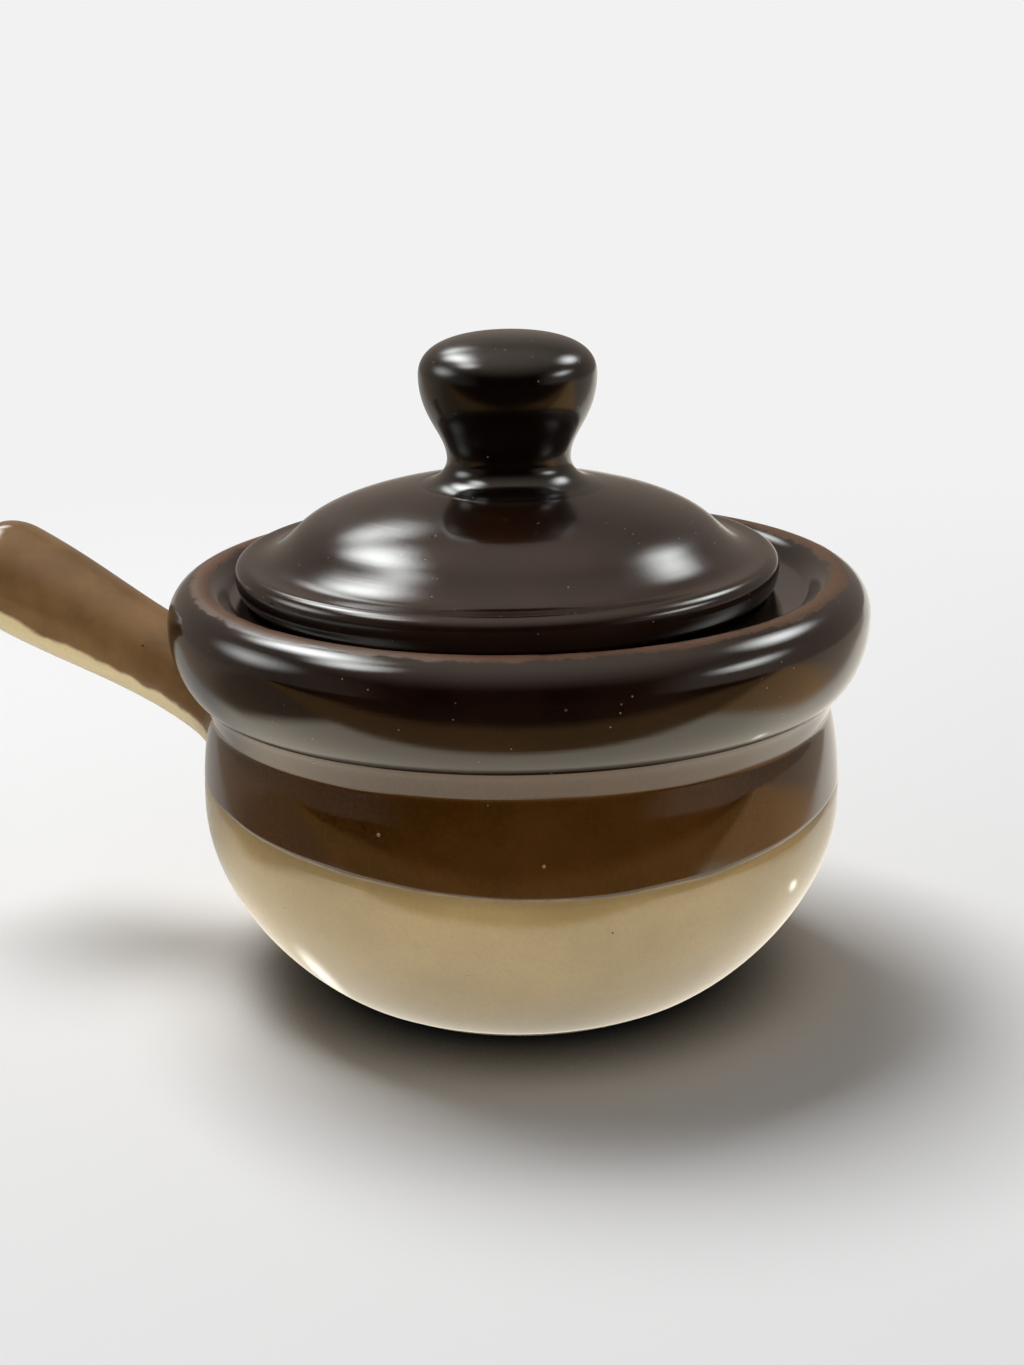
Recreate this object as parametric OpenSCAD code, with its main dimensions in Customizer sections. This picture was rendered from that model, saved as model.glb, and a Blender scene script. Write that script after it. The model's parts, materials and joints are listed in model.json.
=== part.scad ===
// Stoneware onion soup crock: a round bowl with a rolled rim and one hollow stick handle,
// and a loose domed lid with a knob.
// Lengths are in millimetres. The crock stands on z = 0, the bowl's axis is the Z axis
// and the handle points along -X.

/* [Bowl] */
// Height of the rim's crest above the table
bowl_h = 76.4; // [72:0.2:82]
// Radius of the rolled rim at its widest
rim_r = 63.6; // [61:0.2:68]
// Depth of the rim's widest line below the crest
rim_drop = 7.2; // [6:0.2:9]
// Width of the roll from its widest line in to the crest
roll_w = 6.2; // [5:0.2:8]
// Depth of the groove under the rim, measured in from the belly
neck_depth = 1.9; // [1.3:0.1:2.8]
// Height from the groove up to the crest
neck_drop = 24.7; // [23.5:0.1:26]
// Width of the throat from the groove out to the roll
throat_w = 2.1; // [1.4:0.1:3]
// Height of the throat above the groove
throat_h = 5.4; // [4.5:0.1:6.5]
// Radius of the belly
belly_r = 58.6; // [57.4:0.2:61]
// Height of the belly's widest line
belly_z = 35.5; // [31:0.5:40]
// Thickness of the wall at the belly
wall_t = 5.6; // [4.5:0.1:7]
// Thickness of the floor, measured from the table
floor_t = 7; // [5.5:0.1:9]

/* [Foot] */
// Outer radius of the foot ring
foot_r = 34.5; // [31:0.5:38]
// Width of the foot ring
foot_w = 5; // [3:0.5:8]
// Depth of the hollow inside the foot ring
foot_hollow = 1.6; // [0.8:0.1:2.5]

/* [Lid seat] */
// Width of the slope from the crest in to the ledge
slope_w = 5.6; // [4.6:0.2:6.6]
// Width of the ledge that the lid lies on
ledge_w = 7.8; // [6.8:0.2:9]
// Depth of the ledge below the crest
seat_drop = 3.4; // [2.6:0.2:5]
// Height of the ledge's blunt nose
nose_h = 3; // [2:0.2:5]

/* [Glaze] */
// Thickness of the fired glaze coats
glaze_t = 0.5; // [0.3:0.05:0.8]
// Height of the line between the brown band and the cream
glaze_line_z = 37.4; // [28:0.2:44]
// Height of the bare clay above the table
bare_h = 1.5; // [0.8:0.1:3]

/* [Handle] */
// Length of the handle along its own axis
handle_l = 67; // [50:1:80]
// Height of the handle's axis at its root
handle_z = 44; // [42:0.5:47]
// Angle at which the handle rises
handle_rise = 25; // [15:1:30]
// Depth of the handle's root behind the belly
handle_inset = 8; // [7:0.5:11]
// Radius of the root where it is joined to the bowl
root_r = 11.4; // [10:0.2:13]
// Radius of the waist next to the bowl
waist_r = 8.5; // [7:0.1:9.5]
// Distance of the waist from the root
waist_l = 22; // [16:1:28]
// Radius of the grip at its thickest
grip_r = 10.6; // [9.5:0.1:13]
// Length of the rounded end
end_l = 8; // [5:0.5:12]
// Radius of the bore
bore_r = 4.4; // [3:0.1:5.5]
// Distance of the bore's closed end from the root
bore_start = 15; // [11:1:24]
// Width of the rounding round the bore's mouth
mouth_lip = 1; // [0.5:0.1:1.5]

/* [Lid] */
// Play between the lid's flange and the ledge's outer edge
flange_play = 2.5; // [2.4:0.1:3.4]
// Height of the flange
flange_h = 7; // [6:0.2:9]
// Height of the flange's widest line above the seat
edge_h = 4.8; // [4:0.2:5.4]
// Width of the rounding under the flange
under_round = 2.6; // [1.6:0.1:3.4]
// Width of the rounding over the flange
over_round = 2.2; // [1.6:0.1:3]
// Width of the brim from the flange's edge in to the dome
brim_w = 10.6; // [9:0.2:12]
// Height of the dome's foot above the seat
dome_foot_h = 10.8; // [9.6:0.2:12]
// Height of the crown above the seat
crown_h = 19.4; // [18:0.2:22]
// Thickness of the dome
lid_t = 6; // [4.5:0.1:7]
// Play between the locating ring and the mouth
ring_play = 2.6; // [2.4:0.1:3.2]
// Width of the locating ring
ring_w = 4; // [3:0.2:5]
// Height of the locating ring
ring_h = 5; // [3:0.2:8]
// Width of the taper on the locating ring
ring_taper = 0.8; // [0.2:0.1:1.2]
// Distance of the loose lid from the bowl's axis, towards the handle
lid_shift = 2.1; // [0:0.1:2.2]

/* [Knob] */
// Radius of the knob's spread base
knob_base_r = 16; // [14.5:0.5:18]
// Radius of the knob's waist
knob_waist_r = 11.2; // [9:0.1:12]
// Height of the waist above the crown
knob_waist_h = 4.6; // [4:0.1:6]
// Radius of the knob's head
knob_r = 16; // [14:0.1:19]
// Height of the head's widest line above the crown
knob_wide_h = 19.6; // [17:0.2:21]
// Height of the knob
knob_h = 27.4; // [25:0.2:32]
// Distance of the knob from the lid's axis, away from the handle
knob_shift = 0.7; // [0:0.1:1]

/* [Hidden] */
$fn = 48;
handle_sides = 36;
overrun = 1;
rim_z = bowl_h - rim_drop;
neck_z = bowl_h - neck_drop;
seat_z = bowl_h - seat_drop;
crest_r = rim_r - roll_w;
neck_r = belly_r - neck_depth;
crease_r = neck_r + throat_w;
crease_z = neck_z + throat_h;
inner_r = belly_r - wall_t;
ledge_r = crest_r - slope_w;
mouth_r = ledge_r - ledge_w;
flange_r = ledge_r - flange_play;
dome_r = flange_r - brim_w;
ring_r = mouth_r - ring_play;
flange_top_r = flange_r - over_round;
bore_mouth_r = bore_r + mouth_lip;

// Places of the curves' control points, as shares of the spans that they lie in
foot_pull_shares = [0.31, 0.09];
belly_pull_share = 0.5;
shoulder_pull_shares = [0.49, 0.68, 0.2];
throat_pull_shares = [0.24, 0.33, 0.57, 0.72];
roll_pull_shares = [0.35, 0.12, 0.55];
crest_pull_shares = [0.4, 0.2];
nose_pull_share = 0.27;
chest_pull_share = 0.47;
bowl_floor_pull_shares = [0.4, 0.83];
foot_slope_share = 0.5;
cove_pull_shares = [0.35, 0.48];
dome_pull_shares = [0.2, 0.56, 0.65, 0.83];
vault_pull_shares = [0.55, 0.92, 0.5];
vault_end_share = 0.08;
root_pull_shares = [0.3, 0.5];
grip_pull_shares = [0.35, 0.4];
knob_foot_pull_shares = [0.38, 0.13, 0.57];
knob_neck_pull_shares = [0.31, 0.51];
knob_top_pull_shares = [0.64, 0.59];

// Points along a cubic curve, without its first point
function curve(a, b, c, d, n) =
    [for (i = [1:n]) let (t = i / n, u = 1 - t) u*u*u*a + 3*t*u*u*b + 3*t*t*u*c + t*t*t*d];

// Points along part of an ellipse, without its first point
function arc(centre, rx, ry, from, to, n) =
    [for (i = [1:n]) let (a = from + (to - from)*i/n) centre + [rx*cos(a), ry*sin(a)]];

// A point between two others
function between(a, b, share) = a + (b - a)*share;

// The same line moved to its left by d
function moved(line, d) =
    [for (i = [0:len(line) - 1])
        let (step = line[min(i + 1, len(line) - 1)] - line[max(i - 1, 0)])
        line[i] + [-step[1], step[0]]*d/norm(step)];

function reversed(line) = [for (i = [len(line) - 1:-1:0]) line[i]];

// Outside of the bowl, from the foot past the groove up to the crease under the rolled rim
side = concat(
    [[foot_r, 0]],
    curve(
        [foot_r, 0],
        [between(foot_r, belly_r, foot_pull_shares[0]), belly_z*foot_pull_shares[1]],
        [belly_r, belly_z*belly_pull_share],
        [belly_r, belly_z],
        9),
    curve(
        [belly_r, belly_z],
        [belly_r, between(belly_z, neck_z, shoulder_pull_shares[0])],
        [between(neck_r, belly_r, shoulder_pull_shares[1]), between(neck_z, belly_z, shoulder_pull_shares[2])],
        [neck_r, neck_z],
        5),
    curve(
        [neck_r, neck_z],
        [between(neck_r, crease_r, throat_pull_shares[0]), between(neck_z, crease_z, throat_pull_shares[1])],
        [between(neck_r, crease_r, throat_pull_shares[2]), between(neck_z, crease_z, throat_pull_shares[3])],
        [crease_r, crease_z],
        3));

// Rolled rim, from the crease up to the crest
roll = concat(
    curve(
        [crease_r, crease_z],
        [between(crease_r, rim_r, roll_pull_shares[0]), between(crease_z, rim_z, roll_pull_shares[1])],
        [rim_r, between(rim_z, crease_z, roll_pull_shares[2])],
        [rim_r, rim_z],
        6),
    arc([crest_r, rim_z], rim_r - crest_r, rim_drop, 0, 90, 6));

// Inner slope of the rim, the ledge and its nose
ledge = concat(
    curve(
        [crest_r, bowl_h],
        [between(ledge_r, crest_r, crest_pull_shares[0]), bowl_h],
        [between(ledge_r, crest_r, crest_pull_shares[1]), seat_z],
        [ledge_r, seat_z],
        4),
    [[mouth_r, seat_z], [mouth_r, seat_z - nose_h]]);

// Inside of the bowl, from the nose down to the middle of the floor
nose_z = seat_z - nose_h;
inside = concat(
    curve(
        [mouth_r, nose_z],
        [mouth_r, between(nose_z, belly_z, nose_pull_share)],
        [inner_r, between(belly_z, nose_z, chest_pull_share)],
        [inner_r, belly_z],
        6),
    curve(
        [inner_r, belly_z],
        [inner_r, belly_z*bowl_floor_pull_shares[0]],
        [inner_r*bowl_floor_pull_shares[1], floor_t],
        [0, floor_t],
        8));

// Foot ring with a hollow inside it
hollow_r = foot_r - foot_w;
foot = [
    [0, foot_hollow],
    [hollow_r - foot_w*foot_slope_share, foot_hollow],
    [hollow_r, 0]
];

// Section of the glaze coat between two heights, set into the bowl's side
module coat_section(low, high) {
    intersection() {
        polygon(concat(side, reversed(moved(side, glaze_t))));
        translate([0, low])
            square([belly_r + overrun, high - low]);
    }
}

// The space that the crock fills, up to the crest
module crock_space() {
    rotate_extrude()
        polygon(concat([[0, 0]], side, roll, [[0, bowl_h]]));
}

module bowl() {
    color([0.15, 0.10, 0.07])
        rotate_extrude()
            difference() {
                polygon(concat(side, roll, ledge, inside, foot));
                coat_section(bare_h, crease_z + overrun);
            }
}

module band_glaze() {
    color([0.30, 0.19, 0.08])
        rotate_extrude()
            coat_section(glaze_line_z, crease_z + overrun);
}

module cream_glaze() {
    color([0.71, 0.64, 0.49])
        rotate_extrude()
            coat_section(bare_h, glaze_line_z);
}

// Hollow stick that runs up its own axis, open at the end
module stick() {
    grip_l = handle_l - end_l;
    rotate_extrude($fn = handle_sides)
        polygon(concat(
            [[0, 0], [root_r, 0]],
            curve(
                [root_r, 0],
                [between(root_r, waist_r, root_pull_shares[0]), waist_l*root_pull_shares[0]],
                [waist_r, waist_l*root_pull_shares[1]],
                [waist_r, waist_l],
                5),
            curve(
                [waist_r, waist_l],
                [waist_r, between(waist_l, grip_l, grip_pull_shares[0])],
                [grip_r, between(grip_l, waist_l, grip_pull_shares[1])],
                [grip_r, grip_l],
                6),
            arc([bore_mouth_r, grip_l], grip_r - bore_mouth_r, end_l, 0, 90, 5),
            [[bore_r, handle_l - mouth_lip], [bore_r, bore_start], [0, bore_start]]));
}

module handle() {
    color([0.34, 0.25, 0.16])
        difference() {
            translate([handle_inset - belly_r, 0, handle_z])
                rotate([0, handle_rise - 90, 0])
                    stick();
            crock_space();
        }
}

// Puts what is drawn above the lid's underside onto the ledge
module on_ledge() {
    translate([-lid_shift, 0, seat_z])
        children();
}

module lid() {
    ring_in_r = ring_r - ring_w;
    vault_h = crown_h - lid_t;
    vault_end_h = crown_h*vault_end_share;
    color([0.12, 0.07, 0.05])
        on_ledge()
            rotate_extrude()
                polygon(concat(
                    [[ring_r, 0], [flange_r - under_round, 0]],
                    arc([flange_r - under_round, edge_h], under_round, edge_h, -90, 0, 4),
                    arc([flange_top_r, edge_h], over_round, flange_h - edge_h, 0, 90, 5),
                    curve(
                        [flange_top_r, flange_h],
                        [between(flange_top_r, dome_r, cove_pull_shares[0]), flange_h],
                        [between(dome_r, flange_top_r, cove_pull_shares[1]), flange_h],
                        [dome_r, dome_foot_h],
                        4),
                    curve(
                        [dome_r, dome_foot_h],
                        [between(dome_r, knob_base_r, dome_pull_shares[0]),
                            between(dome_foot_h, crown_h, dome_pull_shares[1])],
                        [between(dome_r, knob_base_r, dome_pull_shares[2]),
                            between(dome_foot_h, crown_h, dome_pull_shares[3])],
                        [knob_base_r, crown_h],
                        7),
                    [[0, crown_h], [0, vault_h]],
                    curve(
                        [0, vault_h],
                        [ring_in_r*vault_pull_shares[0], vault_h],
                        [ring_in_r*vault_pull_shares[1], between(vault_end_h, vault_h, vault_pull_shares[2])],
                        [ring_in_r, vault_end_h],
                        6),
                    [[ring_in_r, -ring_h], [ring_r - ring_taper, -ring_h]]));
}

module knob() {
    color([0.10, 0.06, 0.05])
        on_ledge()
            translate([knob_shift, 0, crown_h])
                rotate_extrude()
                    polygon(concat(
                        [[0, 0], [knob_base_r, 0]],
                        curve(
                            [knob_base_r, 0],
                            [between(knob_waist_r, knob_base_r, knob_foot_pull_shares[0]),
                                knob_waist_h*knob_foot_pull_shares[1]],
                            [knob_waist_r, knob_waist_h*knob_foot_pull_shares[2]],
                            [knob_waist_r, knob_waist_h],
                            4),
                        curve(
                            [knob_waist_r, knob_waist_h],
                            [knob_waist_r, between(knob_waist_h, knob_wide_h, knob_neck_pull_shares[0])],
                            [knob_r, between(knob_wide_h, knob_waist_h, knob_neck_pull_shares[1])],
                            [knob_r, knob_wide_h],
                            6),
                        curve(
                            [knob_r, knob_wide_h],
                            [knob_r, between(knob_wide_h, knob_h, knob_top_pull_shares[0])],
                            [knob_r*knob_top_pull_shares[1], knob_h],
                            [0, knob_h],
                            7)));
}

bowl();
handle();
band_glaze();
cream_glaze();
lid();
knob();
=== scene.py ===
"""Looks of a glazed stoneware soup crock: bowl, glaze coats, stick handle, lid and knob, on a pale stage."""

import json
import math

import bmesh
import bpy
from mathutils import Matrix, Vector
from mathutils import noise as grain

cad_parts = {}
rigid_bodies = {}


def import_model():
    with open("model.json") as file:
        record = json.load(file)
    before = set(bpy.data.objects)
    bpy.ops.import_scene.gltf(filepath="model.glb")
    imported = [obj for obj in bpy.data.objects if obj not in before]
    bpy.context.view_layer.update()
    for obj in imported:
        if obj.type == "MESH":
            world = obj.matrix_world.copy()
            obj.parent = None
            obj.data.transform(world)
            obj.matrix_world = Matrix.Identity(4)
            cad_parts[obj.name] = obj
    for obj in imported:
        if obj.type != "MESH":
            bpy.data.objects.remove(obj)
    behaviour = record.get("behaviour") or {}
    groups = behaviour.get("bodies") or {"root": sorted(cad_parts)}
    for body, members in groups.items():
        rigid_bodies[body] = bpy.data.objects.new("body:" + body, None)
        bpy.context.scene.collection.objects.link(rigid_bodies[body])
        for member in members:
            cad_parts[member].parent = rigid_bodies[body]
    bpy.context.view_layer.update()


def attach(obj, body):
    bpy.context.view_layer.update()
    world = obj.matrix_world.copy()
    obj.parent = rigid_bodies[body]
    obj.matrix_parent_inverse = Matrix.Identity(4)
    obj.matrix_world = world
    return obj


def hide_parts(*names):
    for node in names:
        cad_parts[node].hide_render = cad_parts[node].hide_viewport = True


bl_info = {
    "name": "Soup crock",
    "version": (1, 0, 0),
    "blender": (4, 5, 0),
    "location": "View3D > Sidebar > Crock",
    "description": "Builds a glazed stoneware soup crock with a loose lid around its packed solids",
    "category": "Add Mesh",
}

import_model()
MM = 0.001
GLAZE_IOR = 1.55

# Fineness of the meshes
SIDES = 256
KNOB_SIDES = 160
HANDLE_SIDES = 128
FILLET_STEPS = 12
GRIP_STEPS = 30
COAT_STEPS = 40

# Search for the place where the handle comes out of the bowl, in millimetres along the handle
SEARCH_START = 40.0
SEARCH_STEP = 0.25
SEARCH_HALVINGS = 12

# Unevenness of hand work, in millimetres, apart from the bowl's oval as a share of its radius
OVAL_SHARE = 0.001
RIPPLE_DEPTH = 0.12
LINE_SWAY = 2.4
LINE_LEAN = 0.4
LINE_WOBBLE = 0.25

# Rounded edge of a glaze coat, in millimetres
COAT_ROUND = 0.5
COAT_SINK = 0.25

# Stage, in metres; the tent's step is in degrees
FLOOR_RADIUS = 5.0
TENT_RADIUS = 1.4
TENT_STEP = 5
GROUND_REACH = 1.5
GROUND_LIFT = 0.001

# Lights that only show in the gloss: direction, reach along each axis, strength
SHEEN_LIGHTS = (
    ((-0.46, 0.42, 0.79), (0.24, 0.3, 0.24), 15.0),
    ((-0.47, 0.2, 0.85), (0.22, 0.26, 0.2), 11.0),
    ((-0.32, 0.68, 0.66), (0.2, 0.18, 0.16), 7.0),
    ((-0.55, -0.08, 0.83), (0.25, 0.26, 0.2), 12.0),
    ((-0.9, 0.1, 0.42), (0.3, 0.4, 0.25), 5.0),
    ((0.64, 0.36, 0.68), (0.24, 0.36, 0.2), 11.0),
    ((0.9, -0.2, 0.4), (0.2, 0.35, 0.14), 9.0),
)
# Painted glints: small bright places on the glowing ground that show as reflections in the cream: place,
# reach along each axis, strength
GLINTS = (
    ((-0.043, -0.022, 0.001), (0.012, 0.007, 0.1), 2.2),
    ((0.077, -0.005, 0.001), (0.006, 0.005, 0.1), 4.5),
)
# Colours of the glowing ground that paints reflections in the gloss, to the left and to the right of the
# crock
BOARD_BEHIND = ((0.55, 0.52, 0.47, 1.0), (1.15, 1.08, 0.96, 1.0))
BOARD_FRONT = (1.85, 1.68, 1.36, 1.0)
BESIDE_FRONT = ((0.25, 0.19, 0.13, 1.0), (1.1, 0.66, 0.32, 1.0))
BESIDE_BEHIND = ((0.42, 0.33, 0.25, 1.0), (0.58, 0.48, 0.39, 1.0))
STRIP_FRONT = (0.45, 0.26, 0.1, 1.0)
DARK_FRONT = (0.02, 0.014, 0.01, 1.0)


# Outlines, in millimetres, as (distance from the axis, height)


def curve(a, b, c, d, count):
    """Points along a cubic curve, without its first point."""
    points = []
    for i in range(1, count + 1):
        t = i / count
        u = 1 - t
        weights = (u * u * u, 3 * t * u * u, 3 * t * t * u, t * t * t)
        points.append(tuple(sum(w * p[k] for w, p in zip(weights, (a, b, c, d))) for k in (0, 1)))
    return points


def arc(centre, across, up, start, end, count):
    """Points along part of an ellipse, without its first point; angles in degrees."""
    points = []
    for i in range(1, count + 1):
        angle = math.radians(start + (end - start) * i / count)
        points.append((centre[0] + across * math.cos(angle), centre[1] + up * math.sin(angle)))
    return points


def between(a, b, share):
    return a + (b - a) * share


def eased(before, corner, after, reach, count=5):
    """A rounded corner: points from the line before it to the line after it."""
    ends = []
    for other in (before, after):
        length = math.hypot(other[0] - corner[0], other[1] - corner[1])
        share = min(reach / length, 0.48)
        ends.append((between(corner[0], other[0], share), between(corner[1], other[1], share)))
    points = []
    for i in range(count + 1):
        t = i / count
        weighed = (((1 - t) ** 2, ends[0]), (2 * t * (1 - t), corner), (t * t, ends[1]))
        points.append(tuple(sum(weight * place[k] for weight, place in weighed) for k in (0, 1)))
    return points


def moved(line, distance):
    """The same line moved to its left."""
    out = []
    for i, point in enumerate(line):
        a, b = line[max(i - 1, 0)], line[min(i + 1, len(line) - 1)]
        step = (b[0] - a[0], b[1] - a[1])
        length = math.hypot(*step)
        out.append((point[0] - step[1] * distance / length, point[1] + step[0] * distance / length))
    return out


def bowl_side(s, count=26):
    """Outside of the bowl, from the foot past the groove up to the crease under the rolled rim."""
    neck = s.belly_radius - s.neck_depth
    neck_z = s.height - s.neck_drop
    belly = (s.belly_radius, s.belly_height)
    crease = (neck + s.throat_width, neck_z + s.throat_height)
    low = curve(
        (s.foot_radius, 0),
        (between(s.foot_radius, s.belly_radius, 0.31), s.belly_height * 0.09),
        (s.belly_radius, s.belly_height * 0.5),
        belly,
        count,
    )
    high = curve(
        belly,
        (s.belly_radius, between(s.belly_height, neck_z, 0.49)),
        (between(neck, s.belly_radius, 0.68), between(neck_z, s.belly_height, 0.2)),
        (neck, neck_z),
        count // 2,
    )
    throat = curve(
        (neck, neck_z),
        (between(neck, crease[0], 0.33), between(neck_z, crease[1], 0.4)),
        (between(neck, crease[0], 0.6), between(neck_z, crease[1], 0.82)),
        crease,
        count // 3,
    )
    return [(s.foot_radius, 0)] + low + high + throat


def bowl_roll(s, count=16):
    """Rolled rim, from the crease up to the crest."""
    crease = s.belly_radius - s.neck_depth + s.throat_width
    crease_z = s.height - s.neck_drop + s.throat_height
    rim_z = s.height - s.rim_drop
    under = curve(
        (crease, crease_z),
        (between(crease, s.rim_radius, 0.35), between(crease_z, rim_z, 0.12)),
        (s.rim_radius, between(rim_z, crease_z, 0.55)),
        (s.rim_radius, rim_z),
        count,
    )
    return under + arc((s.rim_radius - s.roll_width, rim_z), s.roll_width, s.rim_drop, 0, 90, count)


def bowl_mouth(s, count=10):
    """Inner slope of the rim, the ledge, its nose and the inside down to the floor."""
    crest = s.rim_radius - s.roll_width
    ledge = crest - s.slope_width
    mouth = ledge - s.ledge_width
    seat = s.height - s.seat_drop
    nose = seat - s.nose_height
    inner = s.belly_radius - s.wall
    slope = curve(
        (crest, s.height),
        (between(ledge, crest, 0.4), s.height),
        (between(ledge, crest, 0.2), seat),
        (ledge, seat),
        count,
    )
    lip = eased((ledge, seat), (mouth, seat), (mouth, nose), 1.1)
    chest = curve(
        (mouth, nose),
        (mouth, between(nose, s.belly_height, 0.27)),
        (inner, between(s.belly_height, nose, 0.47)),
        (inner, s.belly_height),
        2 * count,
    )
    floor = curve(
        (inner, s.belly_height),
        (inner, s.belly_height * 0.4),
        (inner * 0.83, s.floor),
        (0, s.floor),
        2 * count,
    )
    return slope + lip + [(mouth, nose)] + chest + floor


def bowl_foot(s):
    """Hollow under the floor and the ring that the bowl stands on."""
    hollow = s.foot_radius - s.foot_width
    far = hollow - s.foot_width * 0.5
    return (
        [(0, s.foot_hollow), (far * 0.5, s.foot_hollow)]
        + eased((0, s.foot_hollow), (far, s.foot_hollow), (hollow, 0), 0.6, 3)
        + eased((far, s.foot_hollow), (hollow, 0), (s.foot_radius, 0), 0.5, 3)
    )


def stick_outline(s):
    """The handle as (distance from its axis, place along it): its stick, its rounded tip and its bore."""
    grip_reach = s.reach - s.end
    mouth = s.bore + s.lip
    flare = [(s.root, 0)] + curve(
        (s.root, 0),
        (between(s.root, s.waist, 0.3), s.waist_reach * 0.3),
        (s.waist, s.waist_reach * 0.5),
        (s.waist, s.waist_reach),
        24,
    )
    swell = curve(
        (s.waist, s.waist_reach),
        (s.waist, between(s.waist_reach, grip_reach, 0.35)),
        (s.grip, between(grip_reach, s.waist_reach, 0.4)),
        (s.grip, grip_reach),
        24,
    )
    tip = arc((mouth, grip_reach), s.grip - mouth, s.end, 0, 90, 14)
    bore = eased(tip[-1], (s.bore, s.reach), (s.bore, s.bore_start), s.lip, 5)
    bore += [(s.bore, s.bore_start + 2)]
    bore += arc((s.bore - 2, s.bore_start + 2), 2, -2, 0, 90, 4)
    return flare + swell, tip, bore


def reach_at(outline, height):
    """Distance of an outline from the axis at a height."""
    best = 0.0
    for a, b in zip(outline, outline[1:]):
        if min(a[1], b[1]) <= height <= max(a[1], b[1]) and a[1] != b[1]:
            best = max(best, between(a[0], b[0], (height - a[1]) / (b[1] - a[1])))
    return best


# Meshes


def turned(name, section, shape, closed, marks=None, sides=SIDES):
    """A section turned round the Z axis, with a hand-made unevenness and values kept at its points."""
    shell = bmesh.new()
    layers = {key: shell.verts.layers.float.new(key) for key in (marks or {})}
    rings = []
    for radius, height in section:
        ring = []
        for k in range(1 if radius < 1e-6 else sides):
            angle = 2 * math.pi * k / sides
            r, z = shape(radius, height, angle)
            vert = shell.verts.new((r * math.cos(angle) * MM, r * math.sin(angle) * MM, z * MM))
            for key, layer in layers.items():
                vert[layer] = marks[key](radius, height, angle)
            ring.append(vert)
        rings.append(ring)
    pairs = list(zip(rings, rings[1:]))
    if closed:
        pairs.append((rings[-1], rings[0]))
    for low, high in pairs:
        join_rings(shell, low, high, sides)
    return finished(name, shell)


def join_rings(shell, low, high, sides):
    for k in range(sides):
        n = (k + 1) % sides
        if len(low) == 1 and len(high) == 1:
            return
        if len(low) == 1:
            shell.faces.new((low[0], high[k], high[n]))
        elif len(high) == 1:
            shell.faces.new((low[k], low[n], high[0]))
        else:
            shell.faces.new((low[k], low[n], high[n], high[k]))


def finished(name, shell):
    """A smooth-shaded object from a bmesh, with creases only at its hard edges."""
    bmesh.ops.recalc_face_normals(shell, faces=shell.faces)
    mesh = bpy.data.meshes.new(name)
    shell.to_mesh(mesh)
    shell.free()
    mesh.shade_smooth()
    mesh.set_sharp_from_angle(angle=math.radians(50))
    made = bpy.data.objects.new(name, mesh)
    bpy.context.scene.collection.objects.link(made)
    return made


def placed(made, node, body, slot, *finishes):
    """Hands a finished piece to its body in place of its CAD node."""
    for finish in finishes:
        made.data.materials.append(finish)
    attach(made, body)
    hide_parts(node)
    return made


# Finishes


def node(tree, kind, inputs=None, **settings):
    """A shader node whose inputs are joined to sockets or set to values."""
    made = tree.nodes.new(kind)
    for key, value in settings.items():
        setattr(made, key, value)
    for key, value in (inputs or {}).items():
        if isinstance(value, bpy.types.NodeSocket):
            tree.links.new(value, made.inputs[key])
        else:
            made.inputs[key].default_value = value
    return made


def noise(tree, place, scale, detail=2.0, rough=0.5):
    found = node(
        tree, "ShaderNodeTexNoise", {"Vector": place, "Scale": scale, "Detail": detail, "Roughness": rough}
    )
    return found.outputs[0]


def spread(tree, value, low, high, start=0.0, end=1.0):
    """Maps low..high to start..end with soft ends."""
    found = node(
        tree,
        "ShaderNodeMapRange",
        {"Value": value, "From Min": low, "From Max": high, "To Min": start, "To Max": end},
        interpolation_type="SMOOTHSTEP",
    )
    return found.outputs[0]


def blend(tree, share, first, second):
    return node(tree, "ShaderNodeMix", {0: share, 6: first, 7: second}, data_type="RGBA").outputs[2]


def sums(tree, operation, a, b):
    return node(tree, "ShaderNodeMath", {0: a, 1: b}, operation=operation).outputs[0]


def vectors(tree, operation, a, b):
    return node(tree, "ShaderNodeVectorMath", {0: a, 1: b}, operation=operation).outputs[0]


def span(tree, place):
    """Length of a vector."""
    return node(tree, "ShaderNodeVectorMath", {0: place}, operation="LENGTH").outputs["Value"]


def mark(tree, name):
    """A value that is kept at the points of a mesh."""
    return node(tree, "ShaderNodeAttribute", attribute_name=name).outputs["Fac"]


def spots(tree, place, scale, size, share):
    """Small round marks: one in the middle of a few cells, 1 inside and 0 outside."""
    cells = node(tree, "ShaderNodeTexVoronoi", {"Vector": place, "Scale": scale})
    chosen = node(tree, "ShaderNodeSeparateColor", {"Color": cells.outputs["Color"]}).outputs[0]
    inside = spread(tree, cells.outputs["Distance"], size * 0.55, size, 1.0, 0.0)
    return sums(tree, "MULTIPLY", inside, spread(tree, chosen, share, share * 0.9))


def rgba(colour, factor=1.0):
    return (colour[0] * factor, colour[1] * factor, colour[2] * factor, 1.0)


def bare_tree(name):
    """A material with an empty node tree."""
    made = bpy.data.materials.new(name)
    made.use_nodes = True
    made.node_tree.nodes.clear()
    return made, made.node_tree


def begun(name):
    """An empty finish: its material, node tree, shader and place on the piece."""
    finish, tree = bare_tree(name)
    shader = node(tree, "ShaderNodeBsdfPrincipled")
    out = node(tree, "ShaderNodeOutputMaterial")
    tree.links.new(shader.outputs[0], out.inputs[0])
    place = node(tree, "ShaderNodeTexCoord").outputs["Object"]
    return finish, tree, shader, place


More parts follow.
